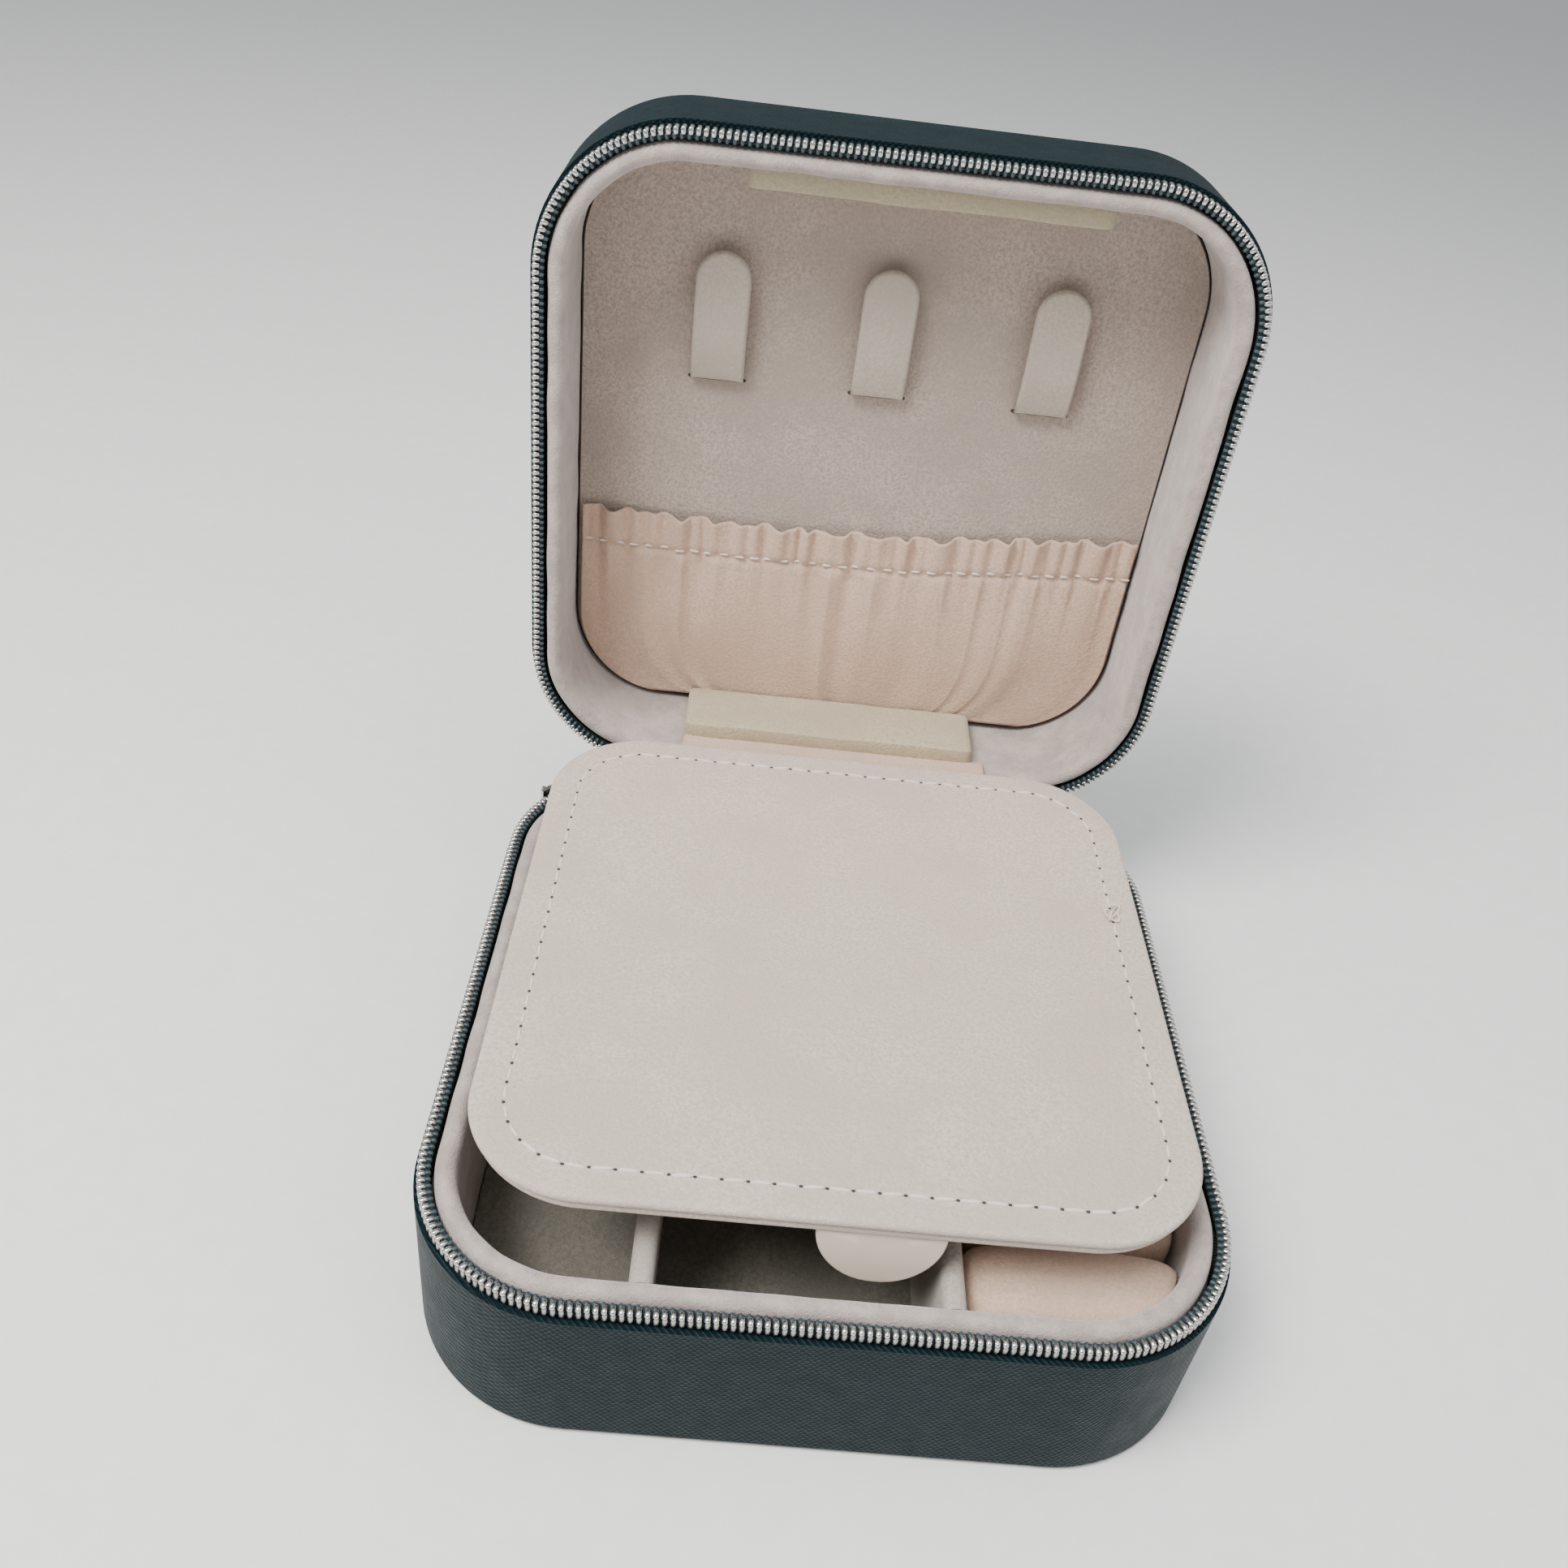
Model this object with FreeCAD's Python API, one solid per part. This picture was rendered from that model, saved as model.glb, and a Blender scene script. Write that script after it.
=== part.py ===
import FreeCAD, Part
import os
import math

os.makedirs("parts", exist_ok=True)
Vec = FreeCAD.Vector

# ---------------------------------------------------------------- sizes, in millimetres
# The box lies on the floor with its centre over the origin. +X is right, +Y is towards the
# hinge and +Z is up. Lid pieces are drawn shut, then swung open about the hinge line.
BOX_W = 100.0            # width of the leather shell, along X
BOX_D = 100.0            # depth of the leather shell, along Y
CORNER_R = 20.8          # radius of the shell's upright corners
BASE_H = 25.0            # floor to the plane where the two zip halves meet
LID_H = 20.0             # that plane to the top of the shut lid
LID_OPEN_DEG = 90.0      # how far the lid is swung open at rest

COVER_T = 1.1            # leather cover
BOARD_T = 1.3            # wall boards, behind the cover
BASE_FOOT_R = 0.9        # rounding of the cover's lower edge
LID_EDGE_R = 3.6         # rounding of the lid's upper edge
LID_CAP_H = 4.0          # height of the top cover's turned-down rim

ZIP_REVEAL = 2.4         # leather edge to the zip's mid-plane
TEETH_OUT = 0.5          # outer face of the teeth, measured in from the shell
TEETH_T = 1.6            # thickness of the teeth, across the tape
TEETH_H = 1.8            # height of one row of teeth
ZIP_GAP = 0.1            # each row of teeth stops this far short of the mid-plane
TAPE_T = 0.6             # zip tape
TAPE_H = 4.2             # height of the tape behind the leather
SPINE_W = 56.0           # width of the leather spine, which takes the zip's place at the back
SPINE_T = 0.8            # spine leather
SPINE_GAP = 0.3          # spine to the wall cover
SPINE_LEN = 11.0         # length of each half of the spine
SPINE_FOLD = 2.2         # bare fold between the hinge line and each half

BOTTOM_COVER_T = 1.0     # leather under the base
BOTTOM_BOARD_T = 1.6     # board above it
COLLAR_T = 2.8           # velvet collar of the base
COLLAR_R = 1.2           # rounding of its rim
FLOOR_T = 0.8            # suede floor of the tray
FIT = 0.1                # clearance of what drops in between linings

DIVIDER_T = 2.8          # thickness of the two dividers
DIVIDER_H = 20.4         # their height above the tray floor
DIVIDER_TOP_R = 1.2      # rounding of their top edges
LEFT_DIVIDER_X = -21.3   # middle of the left divider
RIGHT_DIVIDER_X = 14.8   # middle of the right divider
ROLL_PITCH = 12.7        # ring roll to ring roll, front to back, before they are spread evenly
ROLL_GAP = 0.2           # gap between two rolls
ROLL_TOP = 21.8          # top of the rolls above the floor the box stands on
BED_T = 4.6              # foam bed under the rolls

LID_COLLAR_T = 2.5       # velvet lining of the lid's walls
LID_COLLAR_GAP = 0.3     # its rim to the mid-plane
LID_DEPTH = 16.4         # mid-plane to the lid's panel
PANEL_T = 1.4            # suede-faced panel
PANEL_GAP = 0.2          # dark gap around the panel

HOOK_W = 7.9             # width of a necklace hook
HOOK_TIP_Y = -31.1       # free end
HOOK_ROOT_Y = -12.0      # sewn end
HOOK_ROOT_L = 2.0        # length of the part that goes into the panel's slit
HOOK_T = 1.6             # thickness of the tongue
HOOK_GAP = 1.6           # tongue to the panel
HOOK_X = {"hook_left": -24.6, "hook_middle": -0.6, "hook_right": 24.2}

POCKET_INSET = 6.4       # pocket edge, measured in from the shell
POCKET_TOP_Y = 10.0      # free edge of the ruffle
POCKET_ELASTIC_Y = 16.4  # upper edge of the elastic
POCKET_ELASTIC_H = 1.8   # width of the elastic
POCKET_T = 1.5           # thickness of the gathered cloth
POCKET_GAP = 0.3         # cloth to panel

BAR_L = 48.0             # length of the two suede bars on the lid's walls
BAR_T = 3.0              # how far they stand out
FRONT_BAR_X = 2.0        # middle of the front bar
REAR_BAR_X = -1.0        # middle of the rear bar
BAR_RIM = 3.6            # mid-plane to the bars, which leaves room for the shut flap
BAR_R = 0.9              # rounding of their edges

FLAP_W = 88.0            # flap over the tray, along X
FLAP_D = 88.0            # along Y
FLAP_R = 14.5            # its corners
FLAP_BOARD_T = 1.4       # each of its two boards
FLAP_X = 0.2             # middle of the flap
FLAP_FRONT_CLEAR = 0.7   # shut flap to the lid's lining, at the front
FLAP_SHUT_GAP = 0.3      # shut flap to the rim of the base collar
FLAP_PIVOT_Y = -1.25     # cloth hinge of the flap, measured from the lid's hinge line
FLAP_PIVOT_Z = 4.25
CLOTH_W = 50.0           # width of the cloth hinge
CLOTH_T = 0.45           # its thickness
TAB_W = 15.2             # pull tab under the flap's front edge
TAB_X = 5.4              # middle of the tab
TAB_H = 8.0              # how far it hangs down
TAB_T = 0.8              # its thickness
TAB_SET = 0.8            # flap edge to the tab's front face

SLIDER_L = 6.8           # zip slider, along the zip
SLIDER_T = 0.65          # its outer plate
SLIDER_GAP = 0.25        # plate to the leather
SLIDER_H = 5.2           # height of the plate
SLIDER_TURN = -45.0      # parked halfway round the rear left corner
EAR_T = 0.6              # the two ears that carry the pull
EAR_OUT = 1.8            # how far they stand out
EAR_H = 2.0              # their height
PIN_R = 0.4              # pin between the ears
PIN_OUT = 1.2            # pin's middle to the plate
PIN_Z = 22.6             # pin's middle above the floor
PULL_RUN = 0.06          # running clearance of the pull's eye on the pin
PULL_EYE_T = 0.45        # wall of the eye
PULL_NECK_W = 2.6        # width of the eye and neck
PULL_W = 4.6             # width of the blade
PULL_T = 0.8             # thickness of the blade
PULL_L = 15.0            # pin to tip

# ---------------------------------------------------------------- derived positions
HINGE_Y = BOX_D / 2
LID_TOP = BASE_H + LID_H
LINING = COVER_T + BOARD_T               # inset of both velvet linings
TRAY_INSET = LINING + COLLAR_T           # inset of the tray's inner wall
LID_INSET = LINING + LID_COLLAR_T        # inset of the lid's inner wall
BOARD_Z0 = BOTTOM_COVER_T
TRAY_Z = BOTTOM_COVER_T + BOTTOM_BOARD_T
FLOOR_Z = TRAY_Z + FLOOR_T
TAPE_Z1 = BASE_H - ZIP_GAP - TEETH_H
TAPE_Z0 = TAPE_Z1 - TAPE_H
PANEL_Z = BASE_H + LID_DEPTH
CAP_Z = LID_TOP - LID_CAP_H
CAP_INNER_Z = LID_TOP - COVER_T
CAP_INNER_R = LID_EDGE_R - COVER_T


# ---------------------------------------------------------------- building blocks
def box(x0, x1, y0, y1, z0, z1):
    return Part.makeBox(x1 - x0, y1 - y0, z1 - z0, Vec(x0, y0, z0))


def rounded_box(x0, x1, y0, y1, z0, z1, r):
    """A block with four rounded upright edges."""
    block = box(x0, x1, y0, y1, z0, z1)
    upright = [e for e in block.Edges if e.BoundBox.ZLength > 0.5 * (z1 - z0)]
    return block.makeFillet(r, upright)


def shell_block(inset, z0, z1):
    """The shell's outline, moved in by inset, from z0 to z1."""
    half_w = BOX_W / 2 - inset
    half_d = BOX_D / 2 - inset
    return rounded_box(-half_w, half_w, -half_d, half_d, z0, z1, CORNER_R - inset)


def level_edges(shape, z):
    """The edges that lie in the level plane at z."""
    return [e for e in shape.Edges if abs(e.BoundBox.ZMin - z) < 1e-4 and abs(e.BoundBox.ZMax - z) < 1e-4]


def ring(inset0, inset1, z0, z1):
    return shell_block(inset0, z0, z1).cut(shell_block(inset1, z0 - 1, z1 + 1))


def zip_ring(inset0, inset1, z0, z1):
    """A ring that stops at both sides of the spine."""
    rear = box(-SPINE_W / 2, SPINE_W / 2, 0, BOX_D, z0 - 1, z1 + 1)
    return ring(inset0, inset1, z0, z1).cut(rear)


def swing_open(shape):
    """Swing a lid piece from shut to its rest position."""
    turned = shape.copy()
    turned.rotate(Vec(0, HINGE_Y, BASE_H), Vec(1, 0, 0), -LID_OPEN_DEG)
    return turned


def save(node, shape):
    shape.exportStep("parts/" + node + ".step")


# ---------------------------------------------------------------- base
def base_shell():
    cover = shell_block(0, 0, BASE_H - ZIP_REVEAL)
    cover = cover.makeFillet(BASE_FOOT_R, level_edges(cover, 0))
    cover = cover.cut(shell_block(COVER_T, -1, BASE_H))
    save("base_wall_cover", cover)
    save("base_bottom_cover", shell_block(COVER_T, 0, BOTTOM_COVER_T))
    save("base_wall_board", ring(COVER_T, LINING, BOARD_Z0, TAPE_Z0))
    save("base_bottom_board", shell_block(LINING, BOARD_Z0, TRAY_Z))


def base_zip():
    save("base_zip_tape", zip_ring(COVER_T, COVER_T + TAPE_T, TAPE_Z0, TAPE_Z1))
    save("base_zip_teeth", zip_ring(TEETH_OUT, TEETH_OUT + TEETH_T, TAPE_Z1, BASE_H - ZIP_GAP))


def tray():
    collar = ring(LINING, TRAY_INSET, TRAY_Z, BASE_H)
    collar = collar.makeFillet(COLLAR_R, level_edges(collar, BASE_H))
    save("base_collar", collar)
    save("tray_floor", shell_block(TRAY_INSET + FIT, TRAY_Z, FLOOR_Z))
    half_d = BOX_D / 2 - TRAY_INSET - FIT
    top = FLOOR_Z + DIVIDER_H
    for node, x in (("divider_left", LEFT_DIVIDER_X), ("divider_right", RIGHT_DIVIDER_X)):
        wall = box(x - DIVIDER_T / 2, x + DIVIDER_T / 2, -half_d, half_d, FLOOR_Z, top)
        long_top = [e for e in level_edges(wall, top) if e.Length > DIVIDER_T * 2]
        save(node, wall.makeFillet(DIVIDER_TOP_R, long_top))


def ring_cushion():
    """A foam bed with a row of round-topped rolls, cut to the tray's corners."""
    x0 = RIGHT_DIVIDER_X + DIVIDER_T / 2 + ROLL_GAP
    x1 = BOX_W / 2 - TRAY_INSET - ROLL_GAP
    half_d = BOX_D / 2 - TRAY_INSET - ROLL_GAP
    bed_z = FLOOR_Z + BED_T
    room = shell_block(TRAY_INSET + ROLL_GAP, FLOOR_Z, BASE_H)
    save("ring_bed", box(x0, x1, -half_d, half_d, FLOOR_Z, bed_z).common(room))
    count = round(2 * half_d / ROLL_PITCH)
    pitch = 2 * half_d / count
    r = (pitch - ROLL_GAP) / 2
    for i in range(count):
        y = -half_d + (i + 0.5) * pitch
        body = box(x0, x1, y - r, y + r, bed_z, ROLL_TOP - r)
        crown = Part.makeCylinder(r, x1 - x0, Vec(x0, y, ROLL_TOP - r), Vec(1, 0, 0))
        roll = body.fuse(crown).removeSplitter().common(room)
        save("ring_roll_" + str(i + 1), roll)


def zip_slider():
    """The parked slider and its hanging pull, drawn on the left wall and turned round the corner."""
    wall_x = -BOX_W / 2
    mid_y = BOX_D / 2 - CORNER_R
    plate_x = wall_x - SLIDER_GAP - SLIDER_T
    pin_x = plate_x - PIN_OUT
    half_l = SLIDER_L / 2
    top = BASE_H - ZIP_GAP - ZIP_GAP
    plate = box(plate_x, plate_x + SLIDER_T, mid_y - half_l, mid_y + half_l, top - SLIDER_H, top)
    ear_y = PULL_NECK_W / 2 + FIT
    body = plate
    for side in (-1, 1):
        y0 = mid_y + side * (ear_y + EAR_T / 2) - EAR_T / 2
        body = body.fuse(box(plate_x - EAR_OUT, plate_x, y0, y0 + EAR_T, PIN_Z - EAR_H / 2, PIN_Z + EAR_H / 2))
    pin_l = 2 * (ear_y + EAR_T)
    pin = Part.makeCylinder(PIN_R, pin_l, Vec(pin_x, mid_y - pin_l / 2, PIN_Z), Vec(0, 1, 0))
    body = body.fuse(pin).removeSplitter()

    hole_r = PIN_R + PULL_RUN
    eye_r = hole_r + PULL_EYE_T
    half_neck = PULL_NECK_W / 2
    eye = Part.makeCylinder(eye_r, PULL_NECK_W, Vec(pin_x, mid_y - half_neck, PIN_Z), Vec(0, 1, 0))
    shoulder_z = PIN_Z - EAR_H / 2 - 2 * EAR_T
    neck = box(pin_x - PULL_T / 2, pin_x + PULL_T / 2, mid_y - half_neck, mid_y + half_neck, shoulder_z, PIN_Z)
    tip_z = PIN_Z - PULL_L
    half_w = PULL_W / 2
    blade = box(pin_x - PULL_T / 2, pin_x + PULL_T / 2, mid_y - half_w, mid_y + half_w, tip_z, shoulder_z)
    corners = [e for e in blade.Edges if e.BoundBox.XLength > PULL_T / 2 and e.BoundBox.YLength < 0.01]
    blade = blade.makeFillet(PULL_W / 4, [e for e in corners if e.BoundBox.ZLength < 0.01])
    hole = Part.makeCylinder(hole_r, PULL_NECK_W + 1, Vec(pin_x, mid_y - half_neck - 0.5, PIN_Z), Vec(0, 1, 0))
    pull = eye.fuse(neck).fuse(blade).removeSplitter().cut(hole)

    corner = Vec(wall_x + CORNER_R, mid_y, 0)
    for node, shape in (("zip_slider", body), ("zip_pull", pull)):
        shape.rotate(corner, Vec(0, 0, 1), SLIDER_TURN)
        save(node, shape)


def spine():
    """Both halves of the leather spine; the bare fold between them is left open."""
    y0 = HINGE_Y + SPINE_GAP
    half_w = SPINE_W / 2
    z1 = BASE_H - SPINE_FOLD
    save("base_spine", box(-half_w, half_w, y0, y0 + SPINE_T, z1 - SPINE_LEN, z1))
    z0 = BASE_H + SPINE_FOLD
    save("lid_spine", swing_open(box(-half_w, half_w, y0, y0 + SPINE_T, z0, z0 + SPINE_LEN)))


# ---------------------------------------------------------------- lid, drawn shut
def lid_shell():
    save("lid_wall_cover", swing_open(ring(0, COVER_T, BASE_H + ZIP_REVEAL, CAP_Z)))
    cap = shell_block(0, CAP_Z, LID_TOP)
    cap = cap.makeFillet(LID_EDGE_R, level_edges(cap, LID_TOP))
    room = shell_block(COVER_T, CAP_Z - 1, CAP_INNER_Z)
    room = room.makeFillet(CAP_INNER_R, level_edges(room, CAP_INNER_Z))
    save("lid_top_cover", swing_open(cap.cut(room)))
    tape_top = 2 * BASE_H - TAPE_Z0
    save("lid_wall_board", swing_open(ring(COVER_T, LINING, tape_top, CAP_INNER_Z - CAP_INNER_R)))
    board = shell_block(LID_EDGE_R + FIT, PANEL_Z + PANEL_T, CAP_INNER_Z)
    save("lid_top_board", swing_open(board))


def lid_zip():
    tape_z0 = 2 * BASE_H - TAPE_Z1
    tape = zip_ring(COVER_T, COVER_T + TAPE_T, tape_z0, tape_z0 + TAPE_H)
    save("lid_zip_tape", swing_open(tape))
    teeth = zip_ring(TEETH_OUT, TEETH_OUT + TEETH_T, BASE_H + ZIP_GAP, tape_z0)
    save("lid_zip_teeth", swing_open(teeth))


def lid_lining():
    rim = BASE_H + LID_COLLAR_GAP
    collar = ring(LINING, LID_INSET, rim, PANEL_Z + PANEL_T)
    collar = collar.makeFillet(COLLAR_R - FIT, level_edges(collar, rim))
    save("lid_collar", swing_open(collar))
    save("lid_panel", swing_open(shell_block(LID_INSET + PANEL_GAP, PANEL_Z, PANEL_Z + PANEL_T)))


def hooks():
    """Tongues with a round free end, standing off the panel from a sewn root."""
    r = HOOK_W / 2
    z0 = PANEL_Z - HOOK_GAP - HOOK_T
    for node, x in HOOK_X.items():
        tongue = box(x - r, x + r, HOOK_TIP_Y + r, HOOK_ROOT_Y, z0, z0 + HOOK_T)
        tip = Part.makeCylinder(r, HOOK_T, Vec(x, HOOK_TIP_Y + r, z0))
        root = box(x - r, x + r, HOOK_ROOT_Y - HOOK_ROOT_L, HOOK_ROOT_Y, z0, PANEL_Z)
        save(node, swing_open(tongue.fuse(tip).fuse(root).removeSplitter()))


def pocket():
    """The gathered pocket in three strips: ruffle, elastic and body."""
    z1 = PANEL_Z - POCKET_GAP
    sheet = shell_block(POCKET_INSET, z1 - POCKET_T, z1)
    elastic_y1 = POCKET_ELASTIC_Y + POCKET_ELASTIC_H
    strips = (
        ("pocket_ruffle", POCKET_TOP_Y, POCKET_ELASTIC_Y),
        ("pocket_elastic", POCKET_ELASTIC_Y, elastic_y1),
        ("pocket_body", elastic_y1, BOX_D / 2),
    )
    for node, y0, y1 in strips:
        strip = box(-BOX_W / 2, BOX_W / 2, y0, y1, z1 - POCKET_T, z1)
        save(node, swing_open(sheet.common(strip)))


def bars():
    """Blocks on the lid's front and rear walls; the rear one stops at the pocket's face."""
    inner = BOX_D / 2 - LID_INSET
    z0 = BASE_H + BAR_RIM
    pocket_z = PANEL_Z - POCKET_GAP - POCKET_T - FIT
    places = (
        ("front_bar", FRONT_BAR_X, -inner, -inner + BAR_T, PANEL_Z),
        ("rear_bar", REAR_BAR_X, inner - BAR_T, inner, pocket_z),
    )
    for node, x, y0, y1, z1 in places:
        bar = box(x - BAR_L / 2, x + BAR_L / 2, y0, y1, z0, z1)
        face_y = y1 if node == "front_bar" else y0
        proud = [e for e in bar.Edges if abs(e.BoundBox.YMin - face_y) < 1e-4 and e.BoundBox.YLength < 1e-4]
        proud = [e for e in proud if e.BoundBox.ZMin < z1 - 0.5]
        save(node, swing_open(bar.makeFillet(BAR_R, proud)))


# ---------------------------------------------------------------- flap
def flap():
    """The flap in its rest place. The cloth hinge carries it to the shut place as the lid swings."""
    shut_back = FLAP_PIVOT_Y + FLAP_PIVOT_Z
    shut_drop = FLAP_PIVOT_Z - FLAP_PIVOT_Y
    y0 = -BOX_D / 2 + LID_INSET + FLAP_FRONT_CLEAR + shut_back
    y1 = y0 + FLAP_D
    z0 = BASE_H + FLAP_SHUT_GAP + shut_drop
    x0 = FLAP_X - FLAP_W / 2
    x1 = FLAP_X + FLAP_W / 2
    seam_z = z0 + FLAP_BOARD_T
    save("flap_bottom_board", rounded_box(x0, x1, y0, y1, z0, seam_z, FLAP_R))
    save("flap_top_board", rounded_box(x0, x1, y0, y1, seam_z, seam_z + FLAP_BOARD_T, FLAP_R))

    # the cloth runs from the lid's lining, over the lining's rim, to the flap's rear edge
    wall_z = BASE_H + LID_INSET
    bar_y = HINGE_Y + BAR_RIM
    rim_y = HINGE_Y + LID_COLLAR_GAP + COLLAR_R
    section = [
        Vec(-CLOTH_W / 2, bar_y, wall_z),
        Vec(-CLOTH_W / 2, bar_y, wall_z + CLOTH_T),
        Vec(-CLOTH_W / 2, rim_y, wall_z + CLOTH_T),
        Vec(-CLOTH_W / 2, y1, seam_z + CLOTH_T / 2),
        Vec(-CLOTH_W / 2, y1, seam_z - CLOTH_T / 2),
        Vec(-CLOTH_W / 2, rim_y, wall_z),
    ]
    outline = Part.makePolygon(section + section[:1])
    save("hinge_cloth", Part.Face(outline).extrude(Vec(CLOTH_W, 0, 0)))

    r = TAB_W / 2
    tab_y = y0 + TAB_SET
    round_end = Part.makeCylinder(r, TAB_T, Vec(TAB_X, tab_y, z0 - TAB_H + r), Vec(0, 1, 0))
    tongue = box(TAB_X - r, TAB_X + r, tab_y, tab_y + TAB_T, z0 - TAB_H + r, z0)
    tab = tongue.fuse(round_end).removeSplitter()
    save("flap_tab", tab.common(box(-BOX_W, BOX_W, -BOX_D, BOX_D, 0, z0)))


base_shell()
base_zip()
tray()
ring_cushion()
zip_slider()
spine()
lid_shell()
lid_zip()
lid_lining()
hooks()
pocket()
bars()
flap()
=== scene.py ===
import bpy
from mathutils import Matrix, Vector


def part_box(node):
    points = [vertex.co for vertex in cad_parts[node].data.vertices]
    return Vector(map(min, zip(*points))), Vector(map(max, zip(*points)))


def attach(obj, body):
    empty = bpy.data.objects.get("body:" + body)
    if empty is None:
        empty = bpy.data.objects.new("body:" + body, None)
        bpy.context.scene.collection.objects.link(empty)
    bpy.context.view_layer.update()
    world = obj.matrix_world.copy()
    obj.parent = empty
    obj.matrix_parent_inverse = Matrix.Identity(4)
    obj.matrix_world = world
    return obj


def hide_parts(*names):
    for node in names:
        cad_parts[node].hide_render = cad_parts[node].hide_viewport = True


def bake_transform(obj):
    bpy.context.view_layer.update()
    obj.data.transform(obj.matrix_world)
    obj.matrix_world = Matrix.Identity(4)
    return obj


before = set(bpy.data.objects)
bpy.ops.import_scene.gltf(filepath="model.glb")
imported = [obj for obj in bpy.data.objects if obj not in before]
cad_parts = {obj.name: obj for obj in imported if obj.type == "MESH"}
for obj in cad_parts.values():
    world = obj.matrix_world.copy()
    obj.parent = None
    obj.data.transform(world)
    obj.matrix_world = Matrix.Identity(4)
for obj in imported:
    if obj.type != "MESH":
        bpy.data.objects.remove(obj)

import math

import bmesh
import bpy
import numpy as np
from mathutils import Matrix

bl_info = {
    "name": "Jewelry box looks",
    "version": (1, 0, 0),
    "blender": (4, 5, 0),
    "location": "3D View > Sidebar > Jewelry Box",
    "description": "Zip teeth, velvet, suede, stitching and gathered cloth for a small jewelry box",
    "category": "Object",
}

MM = 0.001
TAU = 2 * math.pi
HINGE_Y, HINGE_Z = [v * MM for v in (50.0, 25.0)]
SHELL_HALF = 50 * MM
SHELL_R = 20.8 * MM
SPINE_HALF = 28 * MM
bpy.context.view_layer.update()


# ------------------------------------------------------------------ curves and grids
def outline(half_w, half_d, r, sides=24, arcs=18):
    """A rounded rectangle, counter-clockwise from the middle of the rear side: points and outward normals.
    Straight runs are even steps; each corner is a circular arc about its own centre."""
    cx, cy = half_w - r, half_d - r
    arc = np.linspace(0, np.pi / 2, arcs + 1)[:-1]
    runs = []
    corners = [(-cx, cy, 90), (-cx, -cy, 180), (cx, -cy, 270), (cx, cy, 0)]
    lines = [
        ((0, half_d), (-cx, half_d)),
        ((-half_w, cy), (-half_w, -cy)),
        ((-cx, -half_d), (cx, -half_d)),
        ((half_w, -cy), (half_w, cy)),
    ]
    for (x, y, turn), (p, q) in zip(corners, lines):
        t = np.linspace(0, 1, sides + 1)[:-1, None]
        straight = np.array(p) * (1 - t) + np.array(q) * t
        a0 = math.radians(turn)
        n = np.tile([math.cos(a0), math.sin(a0)], (len(straight), 1))
        runs.append(np.hstack([straight, n]))
        a = a0 + arc
        bend = np.stack([x + r * np.cos(a), y + r * np.sin(a), np.cos(a), np.sin(a)], 1)
        runs.append(bend)
    t = np.linspace(0, 1, sides + 1)[:-1, None]
    last = np.array([cx, half_d]) * (1 - t) + np.array([0, half_d]) * t
    runs.append(np.hstack([last, np.tile([0.0, 1.0], (len(last), 1))]))
    every = np.vstack(runs)
    return every[:, :2], every[:, 2:]


def shell_path(inset, sides=24, arcs=18):
    """The shell's outline moved inwards: both half sizes and the corner radius shrink by the inset."""
    return outline(SHELL_HALF - inset, SHELL_HALF - inset, SHELL_R - inset, sides, arcs)


def zip_path(inset, step):
    """Even steps along the shell's outline, from one side of the spine round the front to the other."""
    p, n = shell_path(inset, 60, 40)
    keep = ~((p[:, 1] > 0) & (np.abs(p[:, 0]) < SPINE_HALF))
    p, n = p[keep], n[keep]
    s = np.concatenate([[0], np.cumsum(np.linalg.norm(np.diff(p, axis=0), axis=1))])
    at = np.arange(step / 2, s[-1], step)
    p = np.stack([np.interp(at, s, p[:, k]) for k in (0, 1)], 1)
    n = np.stack([np.interp(at, s, n[:, k]) for k in (0, 1)], 1)
    return p, n / np.linalg.norm(n, axis=1, keepdims=True)


def sweep(path, normals, profile):
    """Each profile point is (outward, up); the surface is path + outward * normal, at height up."""
    out = profile[None, :, 0, None] * normals[:, None, :]
    xy = path[:, None, :] + out
    z = np.broadcast_to(profile[None, :, 1, None], xy.shape[:2] + (1,))
    return np.concatenate([xy, z], 2)


def slab(points, normals, z0, z1, edge, rings=7):
    """A flat piece with rounded edges: rings shrink to the middle on both faces, and follow a half circle
    at the edge."""
    mid = points.mean(0)
    inner = points - normals * edge
    a = np.linspace(np.pi / 2, -np.pi / 2, 9)
    half = (z1 - z0) / 2
    steps = np.concatenate([np.linspace(0, 0.955, rings + 1), [0.985]])
    rows = [(f, 0.0, half) for f in steps]
    rows += [(1.0, edge * math.cos(t), half * math.sin(t)) for t in a]
    rows += [(f, 0.0, -half) for f in steps[::-1]]
    f, o, h = [np.array(c)[None, :, None] for c in zip(*rows)]
    xy = mid + (inner[:, None, :] - mid) * f + normals[:, None, :] * o
    z = np.broadcast_to((z0 + z1) / 2 + h, xy.shape[:2] + (1,))
    return np.concatenate([xy, z], 2)


def superblock(centre, half, power=0.35, nu=24, nv=16):
    """A rounded block: a sphere's sine and cosine, each raised to a power below 1 that squares it off."""
    u = np.linspace(0, TAU, nu, endpoint=False)[:, None]
    v = np.linspace(-np.pi / 2, np.pi / 2, nv)[None, :]

    def soft(w):
        return np.sign(w) * np.abs(w) ** power

    x = soft(np.cos(u)) * soft(np.cos(v))
    y = soft(np.sin(u)) * soft(np.cos(v))
    z = soft(np.sin(v)) + 0 * u
    return np.stack([x, y, z], 2) * np.array(half) + np.array(centre)


def capped(grid):
    """Close both ends of a swept loop on the middle of its end rows."""
    ends = [np.broadcast_to(g.mean(0), g.shape)[None] for g in (grid[0], grid[-1])]
    return np.concatenate([ends[0], grid, ends[1]], 0)


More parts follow.
